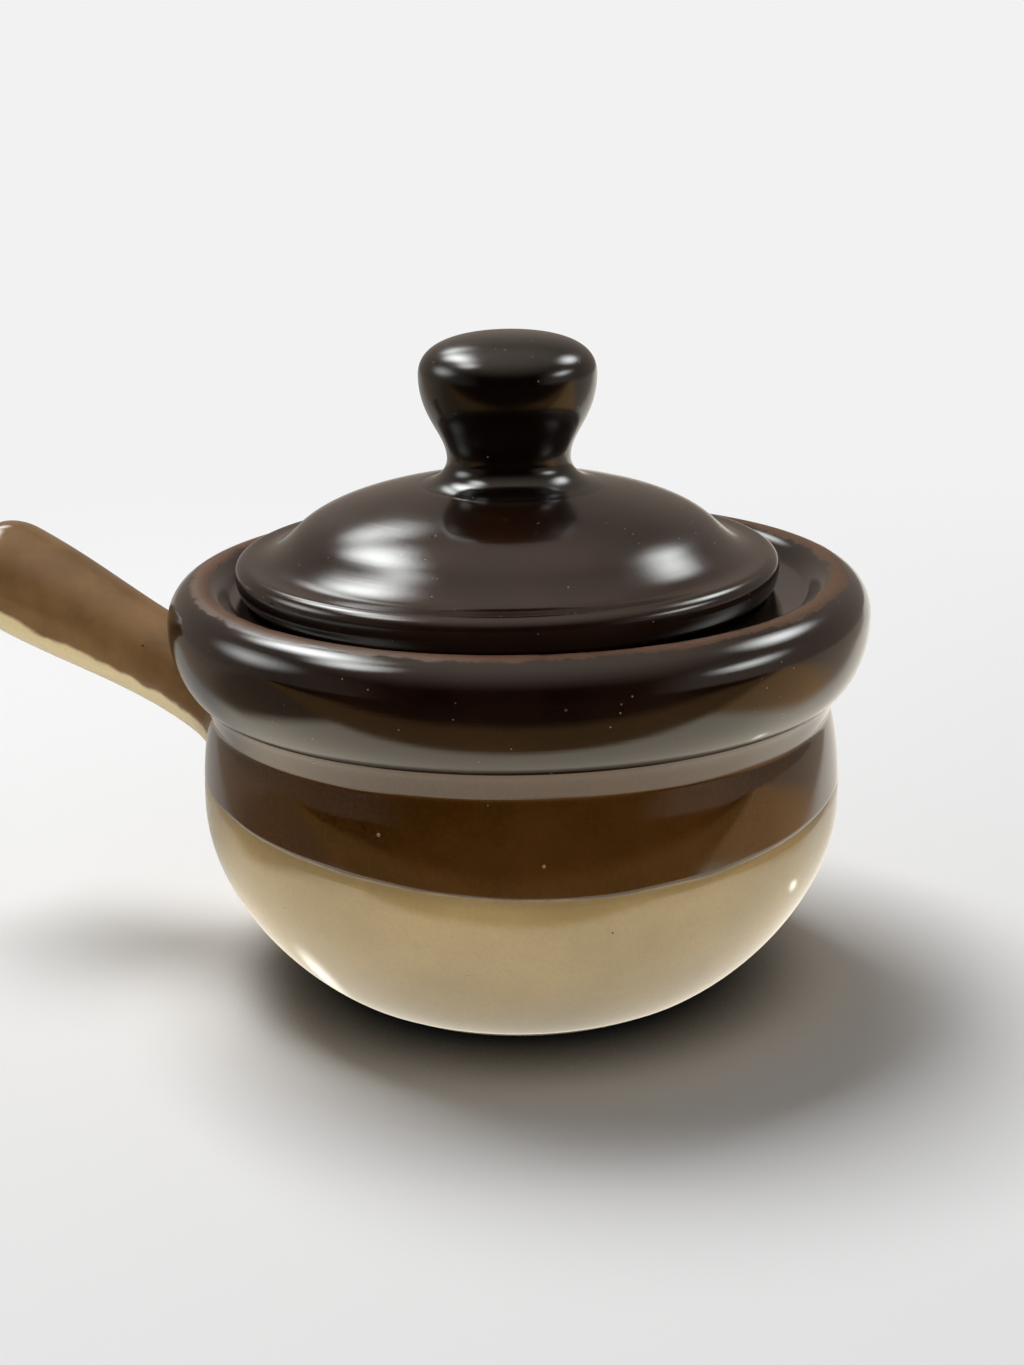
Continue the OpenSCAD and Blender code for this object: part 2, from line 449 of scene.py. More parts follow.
def surface(tree, shader, colour, rough, relief):
    """Joins colour, roughness and relief heights, each with its depth in metres, to the shader."""
    tree.links.new(colour, shader.inputs["Base Color"])
    tree.links.new(rough, shader.inputs["Roughness"])
    normal = None
    for height, depth in relief:
        inputs = {"Height": height, "Distance": depth, "Strength": 1.0}
        if normal:
            inputs["Normal"] = normal
        normal = node(tree, "ShaderNodeBump", inputs).outputs[0]
    tree.links.new(normal, shader.inputs["Normal"])


def dark_glaze(name, c, body, haze, shift, sway):
    """Almost black brown gloss that breaks to rust brown where it runs thin over an edge.

    Body is how far the dark colour comes through, and haze is how much the gloss is dulled by use. The
    throwing rings run round an axis that lies shift millimetres towards the handle, and sway is the depth
    of the slow unevenness of the glaze.
    """
    finish, tree, shader, place = begun(name)
    own = vectors(tree, "ADD", place, (shift * MM, 0.0, 0.0))
    axes = node(tree, "ShaderNodeSeparateXYZ", {0: own})
    flat = node(tree, "ShaderNodeCombineXYZ", {0: axes.outputs[0], 1: axes.outputs[1]}).outputs[0]
    away = span(tree, flat)
    section = node(tree, "ShaderNodeCombineXYZ", {0: away, 1: axes.outputs[2]}).outputs[0]
    rings = noise(tree, section, 600.0, 3.0, 0.6)
    cloud = noise(tree, place, 55.0, 4.0, 0.6)
    fine = noise(tree, place, 900.0, 3.0, 0.6)
    pits = spots(tree, place, 190.0, 0.09, 0.12)
    flecks = spots(tree, place, 420.0, 0.12, 0.03)
    dust = spots(tree, place, 620.0, 0.12, 0.14)
    combed = vectors(tree, "MULTIPLY", place, (1.0, 0.2, 1.0))
    dust = sums(tree, "MAXIMUM", dust, spots(tree, combed, 330.0, 0.05, 0.25))
    ragged = spread(tree, noise(tree, place, 130.0, 5.0, 0.65), 0.3, 0.7, -0.3, 0.24)
    thin = sums(tree, "ADD", mark(tree, "thin"), ragged)
    worn = spread(tree, thin, 0.3, 1.0)
    tone = blend(tree, spread(tree, cloud, 0.35, 0.7), rgba(c.dark, 0.7 * body), rgba(c.dark, 1.4 * body))
    tone = blend(tree, worn, tone, rgba(c.rust))
    tone = blend(tree, flecks, tone, rgba(c.rust, 1.6))
    tone = blend(tree, pits, tone, rgba(c.rust, 0.4))
    tone = blend(tree, dust, tone, rgba(c.clay, 0.5))
    rough = spread(tree, noise(tree, place, 30.0, 5.0, 0.65), 0.3, 0.75, haze, haze * 2)
    rough = sums(tree, "ADD", rough, spread(tree, thin, 0.25, 0.9, 0.0, 0.28))
    shader.inputs["IOR"].default_value = GLAZE_IOR
    slow = noise(tree, place, 30.0, 1.0)
    relief = [(slow, sway), (rings, 0.014 * MM), (fine, 0.006 * MM), (pits, -0.1 * MM)]
    surface(tree, shader, tone, rough, relief)
    return finish


def band_glaze(name, c):
    """Treacle brown gloss that thins out over the cream at its lower edge."""
    finish, tree, shader, place = begun(name)
    cloud = noise(tree, place, 45.0, 5.0, 0.62)
    fine = noise(tree, place, 1300.0, 2.0, 0.6)
    flecks = spots(tree, place, 330.0, 0.13, 0.06)
    tone = blend(tree, spread(tree, cloud, 0.32, 0.7), rgba(c.band, 0.75), rgba(c.band, 1.25))
    tone = blend(tree, spread(tree, fine, 0.35, 0.8, 0.0, 0.3), tone, rgba(c.band, 1.9))
    tone = blend(tree, flecks, tone, rgba(c.cream, 0.5))
    ragged = spread(tree, noise(tree, place, 150.0, 3.0), 0.3, 0.7, -0.15, 0.15)
    above = sums(tree, "ADD", mark(tree, "above_line"), ragged)
    tone = blend(tree, spread(tree, above, 0.5, -0.1), tone, rgba(c.seam))
    rough = spread(tree, cloud, 0.3, 0.75, 0.06, 0.12)
    shader.inputs["IOR"].default_value = GLAZE_IOR
    slow = noise(tree, place, 38.0, 1.0)
    surface(tree, shader, tone, rough, [(slow, 0.6 * MM), (fine, 0.008 * MM), (flecks, -0.06 * MM)])
    return finish


def cream_glaze(name, c):
    """Oatmeal gloss with fine iron specks and a browner edge under the band, partly mixed glaze and partly a
    painted darker reflection.
    """
    finish, tree, shader, place = begun(name)
    cloud = noise(tree, place, 40.0, 5.0, 0.6)
    fine = noise(tree, place, 1500.0, 3.0, 0.7)
    specks = spots(tree, place, 260.0, 0.085, 0.1)
    tone = blend(tree, spread(tree, cloud, 0.3, 0.72), rgba(c.cream, 0.88), rgba(c.cream, 1.1))
    tone = blend(tree, spread(tree, fine, 0.4, 0.75, 0.0, 0.28), tone, rgba(c.seam, 1.2))
    tone = blend(tree, specks, tone, rgba(c.band, 1.4))
    # The browner edge under the band is partly mixed glaze seam and partly a painted darker reflection under
    # the band.
    ragged = spread(tree, noise(tree, place, 90.0, 3.0), 0.3, 0.7, -0.8, 0.8)
    above = sums(tree, "ADD", mark(tree, "above_line"), ragged)
    tone = blend(tree, spread(tree, above, -5.0, 0.0, 0.0, 0.45), tone, rgba(c.seam))
    rough = spread(tree, cloud, 0.3, 0.75, 0.05, 0.1)
    shader.inputs["IOR"].default_value = GLAZE_IOR
    slow = noise(tree, place, 38.0, 1.0)
    surface(tree, shader, tone, rough, [(slow, 0.5 * MM), (fine, 0.01 * MM), (specks, -0.05 * MM)])
    return finish


def handle_glaze(name, c):
    """Thin brown on top and a pale underside, both fading into the bowl's glazes at the joint; the
    underside's pale glaze is also lightened as painted bounce light from below.
    """
    finish, tree, shader, place = begun(name)
    cloud = noise(tree, place, 60.0, 5.0, 0.62)
    fine = noise(tree, place, 1300.0, 2.0, 0.6)
    specks = spots(tree, place, 260.0, 0.085, 0.1)
    brown = blend(tree, spread(tree, cloud, 0.32, 0.7), rgba(c.wash, 0.8), rgba(c.wash, 1.3))
    # Painted light: the pale underside is lighter than the body's cream, standing in for light bounced up
    # from below.
    pale = blend(tree, spread(tree, fine, 0.4, 0.75, 0.0, 0.3), rgba(c.pale), rgba(c.pale, 0.8))
    joint = mark(tree, "joint")
    brown = blend(tree, joint, brown, rgba(c.band, 1.3))
    pale = blend(tree, joint, pale, rgba(c.cream))
    ragged = spread(tree, noise(tree, place, 120.0, 4.0), 0.3, 0.7, -0.06, 0.06)
    under = sums(tree, "ADD", mark(tree, "under"), ragged)
    tone = blend(tree, spread(tree, under, 0.3, 0.42), brown, pale)
    tone = blend(tree, specks, tone, rgba(c.band))
    tone = blend(tree, spread(tree, mark(tree, "thin"), 0.2, 1.0, 0.0, 0.8), tone, rgba(c.rust))
    rough = spread(tree, cloud, 0.3, 0.75, 0.1, 0.2)
    shader.inputs["IOR"].default_value = GLAZE_IOR
    slow = noise(tree, place, 45.0, 1.0)
    surface(tree, shader, tone, rough, [(slow, 0.6 * MM), (fine, 0.01 * MM)])
    return finish


def bare_clay(name, c):
    """Unglazed buff stoneware of the foot."""
    finish, tree, shader, place = begun(name)
    sand = noise(tree, place, 1100.0, 4.0, 0.7)
    cloud = noise(tree, place, 70.0, 4.0, 0.6)
    specks = spots(tree, place, 420.0, 0.2, 0.14)
    tone = blend(tree, spread(tree, cloud, 0.3, 0.7), rgba(c.clay, 0.85), rgba(c.clay, 1.12))
    tone = blend(tree, specks, tone, rgba(c.rust))
    rough = spread(tree, sand, 0.3, 0.7, 0.7, 0.95)
    surface(tree, shader, tone, rough, [(sand, 0.08 * MM)])
    return finish


# Settings


def length(label, about, millimetres):
    """A size in millimetres, shown as a plain number."""
    return bpy.props.FloatProperty(name=label + " (mm)", description=about, default=millimetres, min=0.0)


def bearing(label, about, degrees):
    turn = math.radians(degrees)
    return bpy.props.FloatProperty(name=label, description=about, default=turn, subtype="ANGLE")


def metres(label, about, value):
    return bpy.props.FloatProperty(name=label, description=about, default=value, unit="LENGTH")


def tint(label, about, colour):
    return bpy.props.FloatVectorProperty(
        name=label, description=about, default=colour, size=3, min=0.0, max=1.0, subtype="COLOR"
    )


class CrockBowlSizes(bpy.types.PropertyGroup):
    """Sizes of the bowl and its glaze coats, in millimetres."""

    height: length("Height", "Height of the rim's crest above the table", 76.4)
    rim_radius: length("Rim radius", "Radius of the rolled rim at its widest", 63.6)
    rim_drop: length("Rim drop", "Depth of the rim's widest line below the crest", 7.2)
    roll_width: length("Roll width", "Width of the roll from its widest line in to the crest", 6.2)
    neck_depth: length("Groove depth", "Depth of the groove under the rim, measured in from the belly", 2.1)
    neck_drop: length("Groove drop", "Height from the groove up to the crest", 24.7)
    throat_width: length("Throat width", "Width of the throat from the groove out to the roll", 2.6)
    throat_height: length("Throat height", "Height of the throat above the groove", 5.4)
    belly_radius: length("Belly radius", "Radius of the belly", 58.6)
    belly_height: length("Belly height", "Height of the belly's widest line", 35.5)
    wall: length("Wall", "Thickness of the wall at the belly", 5.6)
    floor: length("Floor", "Thickness of the floor, measured from the table", 7.0)
    foot_radius: length("Foot radius", "Outer radius of the foot ring", 34.5)
    foot_width: length("Foot width", "Width of the foot ring", 5.0)
    foot_hollow: length("Foot hollow", "Depth of the hollow inside the foot ring", 1.6)
    slope_width: length("Slope width", "Width of the slope from the crest in to the ledge", 5.6)
    ledge_width: length("Ledge width", "Width of the ledge that the lid lies on", 7.8)
    seat_drop: length("Seat drop", "Depth of the ledge below the crest", 3.4)
    nose_height: length("Nose height", "Height of the ledge's blunt nose", 3.0)
    coat: length("Glaze thickness", "Thickness of the fired glaze coats", 0.5)
    glaze_line: length("Glaze line", "Height of the line between the brown band and the cream", 37.4)
    bare: length("Bare foot", "Height of the bare clay above the table", 1.5)


class CrockHandleSizes(bpy.types.PropertyGroup):
    """Sizes of the stick handle, in millimetres."""

    reach: length("Length", "Length of the handle along its own axis", 66.98)
    root_height: length("Root height", "Height of the handle's axis at its root", 44.0)
    rise: bearing("Rise", "Angle at which the handle rises", 25)
    inset: length("Inset", "Depth of the handle's root behind the belly", 8.0)
    root: length("Root radius", "Radius of the root where it is joined to the bowl", 11.4)
    waist: length("Waist radius", "Radius of the waist next to the bowl", 8.5)
    waist_reach: length("Waist place", "Distance of the waist from the root", 22.0)
    grip: length("Grip radius", "Radius of the grip at its thickest", 10.6)
    end: length("End length", "Length of the rounded end", 8.0)
    bore: length("Bore radius", "Radius of the bore", 4.4)
    bore_start: length("Bore start", "Distance of the bore's closed end from the root", 15.0)
    lip: length("Bore lip", "Width of the rounding round the bore's mouth", 1.0)
    fillet: length("Fillet", "Width of the smoothed joint between handle and bowl", 4.5)


class CrockLidSizes(bpy.types.PropertyGroup):
    """Sizes of the lid and its knob, in millimetres."""

    flange: length("Flange radius", "Radius of the lid's flange", 49.3)
    flange_height: length("Flange height", "Height of the flange", 7.0)
    edge_height: length("Edge height", "Height of the flange's widest line above the seat", 4.8)
    under_round: length("Lower rounding", "Width of the rounding under the flange", 2.6)
    over_round: length("Upper rounding", "Width of the rounding over the flange", 2.2)
    dome: length("Dome radius", "Radius of the dome where it rises from the flange", 38.7)
    dome_foot: length("Dome foot", "Height of the dome's foot above the seat", 10.8)
    crown: length("Crown height", "Height of the crown above the seat", 19.4)
    thickness: length("Thickness", "Thickness of the dome", 6.0)
    ring: length("Ring radius", "Radius of the locating ring", 41.4)
    ring_width: length("Ring width", "Width of the locating ring", 4.0)
    ring_height: length("Ring height", "Height of the locating ring", 5.0)
    ring_taper: length("Ring taper", "Width of the taper on the locating ring", 0.8)
    shift: length("Shift", "Distance of the loose lid from the bowl's axis, towards the handle", 2.1)
    knob_base: length("Knob base", "Radius of the knob's spread base", 16.0)
    knob_waist: length("Knob waist", "Radius of the knob's waist", 11.2)
    knob_waist_height: length("Knob waist height", "Height of the waist above the crown", 4.6)
    knob: length("Knob radius", "Radius of the knob's head", 16.0)
    knob_wide_height: length("Knob wide height", "Height of the head's widest line above the crown", 19.6)
    knob_height: length("Knob height", "Height of the knob", 27.0)
    knob_shift: length("Knob shift", "Distance of the knob from the lid's axis, away from the handle", 0.7)


class CrockColours(bpy.types.PropertyGroup):
    """Colours of the glazes and the clay."""

    dark: tint("Dark glaze", "Glaze of the rim, the inside, the lid and the knob", (0.0072, 0.0026, 0.0012))
    rust: tint("Rust break", "Dark glaze where it runs thin over an edge", (0.064, 0.026, 0.009))
    band: tint("Brown band", "Glaze of the band under the rim", (0.048, 0.0175, 0.0022))
    seam: tint("Glaze seam", "Mixed glaze along the line under the band", (0.235, 0.155, 0.066))
    wash: tint("Handle wash", "Thin brown glaze over the top of the handle", (0.2, 0.108, 0.042))
    # Partly painted light: a pale glaze, made lighter than the cream to stand in for light bounced up under
    # the handle.
    pale: tint("Handle underside", "Pale glaze on the underside of the handle", (0.78, 0.63, 0.34))
    cream: tint("Cream glaze", "Glaze of the lower body", (0.41, 0.29, 0.125))
    clay: tint("Bare clay", "Unglazed stoneware of the foot", (0.42, 0.31, 0.2))


class CrockStage(bpy.types.PropertyGroup):
    """Camera and light."""

    azimuth: bearing("Azimuth", "Direction of the camera", 18)
    elevation: bearing("Elevation", "Height of the camera", 15.0)
    tilt: bearing("Tilt", "Extra downward turn of the camera", 1.711)
    roll: bearing("Roll", "Sideways lean of the camera", -0.99)
    swing: bearing("Swing", "Sideways turn of the camera", 0.209)
    distance: metres("Distance", "Distance of the camera from the rim", 0.42)
    aim_height: metres("Aim height", "Height of the point that the distance is measured to", 0.068)
    lens: bpy.props.FloatProperty(
        name="Lens", description="Focal length of the camera", default=60.63, unit="CAMERA"
    )
    floor: tint("Floor", "Colour of the floor and background", (0.888, 0.888, 0.888))


class CrockSettings(bpy.types.PropertyGroup):
    """All settings of the crock."""

    bowl: bpy.props.PointerProperty(type=CrockBowlSizes, name="Bowl", description="Sizes of the bowl")
    handle: bpy.props.PointerProperty(type=CrockHandleSizes, name="Handle", description="Sizes of the handle")
    lid: bpy.props.PointerProperty(type=CrockLidSizes, name="Lid", description="Sizes of the lid and knob")
    colours: bpy.props.PointerProperty(type=CrockColours, name="Colours", description="Glazes and clay")
    stage: bpy.props.PointerProperty(type=CrockStage, name="Stage", description="Camera and light")


def settings():
    return bpy.context.scene.crock


# Unevenness of hand work, which only ever draws the walls in


def thrown(radius, height, angle):
    """A turned wall with slow unevenness, never outside its outline."""
    wave = 0.5 - 0.5 * math.cos(2 * (angle - 0.7))
    ripple = 0.5 + 0.5 * grain.noise(Vector((math.cos(angle) * 1.6, math.sin(angle) * 1.6, height * 0.045)))
    return radius * (1 - OVAL_SHARE * wave) - RIPPLE_DEPTH * ripple * min(radius / 10, 1), height


def glaze_line(s, angle):
    """Height of the line between band and cream, which wanders a little round the bowl."""
    front = math.radians(-64)
    slow = -LINE_SWAY * math.cos(2 * (angle - front)) - LINE_LEAN * math.sin(angle - front)
    quick = LINE_WOBBLE * grain.noise(Vector((math.cos(angle) * 5, math.sin(angle) * 5, 3.1)))
    return s.glaze_line + slow + quick


# Operators


class CROCK_OT_bowl(bpy.types.Operator):
    """Turn the bowl with its rolled rim, ledge and foot"""

    bl_idname = "crock.bowl"
    bl_label = "Bowl"

    def execute(self, context):
        s, c = settings().bowl, settings().colours
        side = bowl_side(s)
        crest = s.rim_radius - s.roll_width
        core = [p for p in moved(side, s.coat) if p[1] > s.bare]
        section = (
            [(s.foot_radius, 0.0), (reach_at(side, s.bare) - s.coat, s.bare)]
            + core
            + [side[-1]]
            + bowl_roll(s)
            + bowl_mouth(s)
            + bowl_foot(s)
        )

        def thin(radius, height, angle):
            near = abs(radius - crest - 0.2) / 2.7
            return max(0.0, 1 - near * near) if height > s.height - 2.2 else 0.0

        made = turned("thrown_bowl", section, thrown, True, {"thin": thin})
        gloss = dark_glaze("dark_glaze", c, body=1.2, haze=0.09, shift=0.0, sway=0.4 * MM)
        placed(made, "bowl", "crock", "dark_glaze", gloss, bare_clay("bare_clay", c))
        for face in made.data.polygons:
            top = max(made.data.vertices[v].co.z for v in face.vertices)
            if top < (s.foot_hollow + 0.05) * MM:
                face.material_index = 1
        return {"FINISHED"}


class CROCK_OT_coats(bpy.types.Operator):
    """Lay the brown band and the cream glaze over the bowl's side"""

    bl_idname = "crock.coats"
    bl_label = "Glaze coats"

    def execute(self, context):
        s, c = settings().bowl, settings().colours
        side = bowl_side(s, 60)
        crease_z = side[-1][1]
        shares = [i / COAT_STEPS for i in range(COAT_STEPS + 1)]
        section = [(1.0, share) for share in shares] + [(2.0, share) for share in reversed(shares)]

        def coat(low, high):
            """Place of a point of a coat: face 1 is the glazed one, face 2 lies on the clay."""

            def laid(face, share, angle):
                bottom, top = low(angle), high(angle)
                z = between(bottom, top, share)
                edge = min(share, 1 - share) * (top - bottom)
                sink = max(0.0, 1 - edge / COAT_ROUND) ** 2 * COAT_SINK if face < 1.5 else s.coat
                return thrown(reach_at(side, z), z, angle)[0] - sink, z

            return laid

        for name, slot, low, high, finish in (
            ("cream_coat", "cream_glaze", lambda a: s.bare, lambda a: glaze_line(s, a), cream_glaze),
            ("band_coat", "band_glaze", lambda a: glaze_line(s, a), lambda a: crease_z, band_glaze),
        ):
            laid = coat(low, high)

            def above_line(face, share, angle):
                return laid(face, share, angle)[1] - glaze_line(s, angle)

            made = turned(name, section, laid, True, {"above_line": above_line})
            placed(made, slot, "crock", slot, finish(slot, c))
        return {"FINISHED"}


class Stick:
    """The handle's outline in its place on the bowl, in millimetres."""

    def __init__(self, s, b):
        self.s = s
        self.outline, self.tip, self.bore = stick_outline(s)
        self.bowl = bowl_side(b, 60) + bowl_roll(b, 40)
        self.root = Vector((s.inset - b.belly_radius, 0, s.root_height))
        self.along = Vector((-math.cos(s.rise), 0, math.sin(s.rise)))
        self.across = Vector((0, 1, 0))
        self.up = Vector((math.sin(s.rise), 0, math.cos(s.rise)))

    def point(self, radius, reach, angle):
        spoke = self.across * math.cos(angle) + self.up * math.sin(angle)
        return self.root + self.along * reach + spoke * radius

    def skin(self, reach, angle, extra=0.0):
        """A point on the stick's surface, made thicker by extra."""
        return self.point(reach_at(self.outline, reach) + extra, reach, angle)

    def hidden(self, place):
        """Whether a place lies inside the bowl's outline."""
        return math.hypot(place.x, place.y) < reach_at(self.bowl, place.z)

    def leaves(self, angle, extra):
        """How far along the stick its surface, made thicker by extra, comes out of the bowl."""
        free = SEARCH_START
        while free > SEARCH_STEP and not self.hidden(self.skin(free - SEARCH_STEP, angle, extra)):
            free -= SEARCH_STEP
        inside = free - SEARCH_STEP
        for halving in range(SEARCH_HALVINGS):
            tried = (inside + free) / 2
            if self.hidden(self.skin(tried, angle, extra)):
                inside = tried
            else:
                free = tried
        return free

    def column(self, angle):
        """One line of points: foot inside the bowl's wall, smoothed joint, grip, rounded tip and bore.

        The joint is narrower towards the top, where the rim hangs over the handle.
        """
        fillet = self.s.fillet * (1 - 0.75 * max(math.sin(angle), 0.0))
        start = self.leaves(angle, 0.0)
        foot = self.skin(self.leaves(angle, fillet), angle, fillet)
        free = start + fillet * 1.5
        head = self.skin(free, angle)
        inward = Vector((-foot.x, -foot.y, 0)).normalized()
        bend = self.skin(start, angle) - inward * 0.15
        points = [foot + inward * 1.2]
        for i in range(FILLET_STEPS + 1):
            t = i / FILLET_STEPS
            points.append(foot * (1 - t) ** 2 + bend * 2 * t * (1 - t) + head * t * t)
        for i in range(1, GRIP_STEPS + 1):
            points.append(self.skin(between(free, self.s.reach - self.s.end, i / GRIP_STEPS), angle))
        return points + [self.point(radius, reach, angle) for radius, reach in self.tip + self.bore]


class CROCK_OT_handle(bpy.types.Operator):
    """Join the hollow stick handle to the bowl's shoulder"""

    bl_idname = "crock.handle"
    bl_label = "Handle"

    def execute(self, context):
        s, b, c = settings().handle, settings().bowl, settings().colours
        stick = Stick(s, b)
        angles = [2 * math.pi * k / HANDLE_SIDES for k in range(HANDLE_SIDES)]
        columns = [stick.column(angle) for angle in angles]
        shell = bmesh.new()
        under, thin, joint = (shell.verts.layers.float.new(key) for key in ("under", "thin", "joint"))
        rings = []
        lip = len(columns[0]) - len(stick.bore) - 1
        for i in range(len(columns[0])):
            worn = min(max((i - lip) / len(stick.tip) + 1, 0.0), 1.0) ** 3
            ring = []
            for column, angle in zip(columns, angles):
                vert = shell.verts.new(column[i] * MM)
                vert[under] = -math.sin(angle) if i < lip else -1.0
                vert[thin] = worn
                vert[joint] = max(1 - i / (FILLET_STEPS + 2), 0.0)
                ring.append(vert)
            rings.append(ring)
        for low, high in zip(rings, rings[1:]):
            join_rings(shell, low, high, HANDLE_SIDES)
        for ring, reach in ((rings[0], 0.0), (rings[-1], s.bore_start)):
            middle = shell.verts.new(stick.point(0, reach, 0) * MM)
            join_rings(shell, ring, [middle], HANDLE_SIDES)
        made = finished("stick_handle", shell)
        placed(made, "handle", "crock", "handle_glaze", handle_glaze("handle_glaze", c))
        return {"FINISHED"}


class CROCK_OT_lid(bpy.types.Operator):
    """Turn the domed lid with its flange and locating ring"""

    bl_idname = "crock.lid"
    bl_label = "Lid"

    def execute(self, context):
        s, b, c = settings().lid, settings().bowl, settings().colours
        seat = b.height - b.seat_drop
        ring_in = s.ring - s.ring_width
        top = s.flange - s.over_round
        vault = s.crown - s.thickness
        section = [(s.ring, 0), (s.flange - s.under_round, 0)]
        section += arc((s.flange - s.under_round, s.edge_height), s.under_round, s.edge_height, -90, 0, 12)
        section += arc((top, s.edge_height), s.over_round, s.flange_height - s.edge_height, 0, 90, 14)
        section += curve(
            (top, s.flange_height),
            (between(top, s.dome, 0.35), s.flange_height),
            (between(s.dome, top, 0.48), s.flange_height),
            (s.dome, s.dome_foot),
            16,
        )
        section += curve(
            (s.dome, s.dome_foot),
            (between(s.dome, s.knob_base, 0.2), between(s.dome_foot, s.crown, 0.56)),
            (between(s.dome, s.knob_base, 0.65), between(s.dome_foot, s.crown, 0.83)),
            (s.knob_base, s.crown),
            26,
        )
        section += [(s.knob_base * 0.6, s.crown), (0, s.crown), (0, vault)]
        section += curve(
            (0, vault),
            (ring_in * 0.55, vault),
            (ring_in * 0.92, between(s.crown * 0.08, vault, 0.5)),
            (ring_in, s.crown * 0.08),
            18,
        )
        low = -s.ring_height
        section += eased((ring_in, 0), (ring_in, low), (s.ring, low), 1.0)
        section += eased((ring_in, low), (s.ring - s.ring_taper, low), (s.ring, 0), 1.0)

        def thin(radius, height, angle):
            return max(0.0, 1 - abs(height - low) / 1.2) if radius > ring_in - 1 else 0.0

        def shape(radius, height, angle):
            r, z = thrown(radius, height, angle + 1.9)
            return r, z + seat

        made = turned("domed_lid", section, shape, True, {"thin": thin})
        made.data.transform(Matrix.Translation((-s.shift * MM, 0, 0)))
        gloss = dark_glaze("lid_glaze", c, body=1.7, haze=0.12, shift=s.shift, sway=0.4 * MM)
        placed(made, "lid", "cover", "lid_glaze", gloss)
        return {"FINISHED"}


class CROCK_OT_knob(bpy.types.Operator):
    """Turn the waisted knob on the lid's crown"""

    bl_idname = "crock.knob"
    bl_label = "Knob"

    def execute(self, context):
        s, b, c = settings().lid, settings().bowl, settings().colours
        base = b.height - b.seat_drop + s.crown
        axis = s.shift - s.knob_shift
        sunk = (s.knob_base + 1.4, -0.42)
        section = [(0, sunk[1]), (s.knob_base * 0.5, sunk[1]), sunk, (s.knob_base, 0)]
        section += curve(
            (s.knob_base, 0),
            (between(s.knob_waist, s.knob_base, 0.38), s.knob_waist_height * 0.13),
            (s.knob_waist, s.knob_waist_height * 0.57),
            (s.knob_waist, s.knob_waist_height),
            16,
        )
        section += curve(
            (s.knob_waist, s.knob_waist_height),
            (s.knob_waist, between(s.knob_waist_height, s.knob_wide_height, 0.31)),
            (s.knob, between(s.knob_wide_height, s.knob_waist_height, 0.51)),
            (s.knob, s.knob_wide_height),
            22,
        )
        section += curve(
            (s.knob, s.knob_wide_height),
            (s.knob, between(s.knob_wide_height, s.knob_height, 0.7)),
            (s.knob * 0.64, s.knob_height),
            (0, s.knob_height),
            26,
        )

        def shape(radius, height, angle):
            r, z = thrown(radius, height, angle + 4.1)
            return r, z + base

        made = turned("waisted_knob", section, shape, False, {"thin": lambda r, h, a: 0.0}, KNOB_SIDES)
        made.data.transform(Matrix.Translation((-axis * MM, 0, 0)))
        gloss = dark_glaze("knob_glaze", c, body=0.35, haze=0.12, shift=axis, sway=0.18 * MM)
        placed(made, "knob", "cover", "knob_glaze", gloss)
        return {"FINISHED"}


def soft_box(name, place, target, across, up, watts):
    data = bpy.data.lights.new(name, "AREA")
    data.shape = "RECTANGLE"
    data.size, data.size_y, data.energy = across, up, watts
    lamp = bpy.data.objects.new(name, data)
    bpy.context.scene.collection.objects.link(lamp)
    lamp.location = place
    lamp.rotation_euler = (Vector(target) - Vector(place)).to_track_quat("-Z", "Y").to_euler()
    return lamp


def seen_rays(tree):
    """1 for the rays that show the background: straight, mirrored or let through."""
    rays = node(tree, "ShaderNodeLightPath")
    seen = sums(tree, "MAXIMUM", rays.outputs["Is Camera Ray"], rays.outputs["Is Glossy Ray"])
    return sums(tree, "MAXIMUM", seen, rays.outputs["Is Transmission Ray"])


def glow(tree, place, centre, reach, strength):
    """A soft-edged light round a place or direction, with its reach along each axis."""
    share = vectors(tree, "DIVIDE", vectors(tree, "SUBTRACT", place, centre), reach)
    return spread(tree, span(tree, share), 0.0, 1.0, strength, 0.0)


def glows(tree, place, lights):
    total = 0.0
    for centre, reach, strength in lights:
        total = sums(tree, "ADD", total, glow(tree, place, centre, reach, strength))
    return total


def shining(tree, first, first_strength, second, second_strength):
    """Ends a tree in two lights added together."""
    one = node(tree, "ShaderNodeEmission", {"Color": first, "Strength": first_strength})
    other = node(tree, "ShaderNodeEmission", {"Color": second, "Strength": second_strength})
    both = node(tree, "ShaderNodeAddShader", {0: one.outputs[0], 1: other.outputs[0]})
    node(tree, "ShaderNodeOutputMaterial", {0: both.outputs[0]})


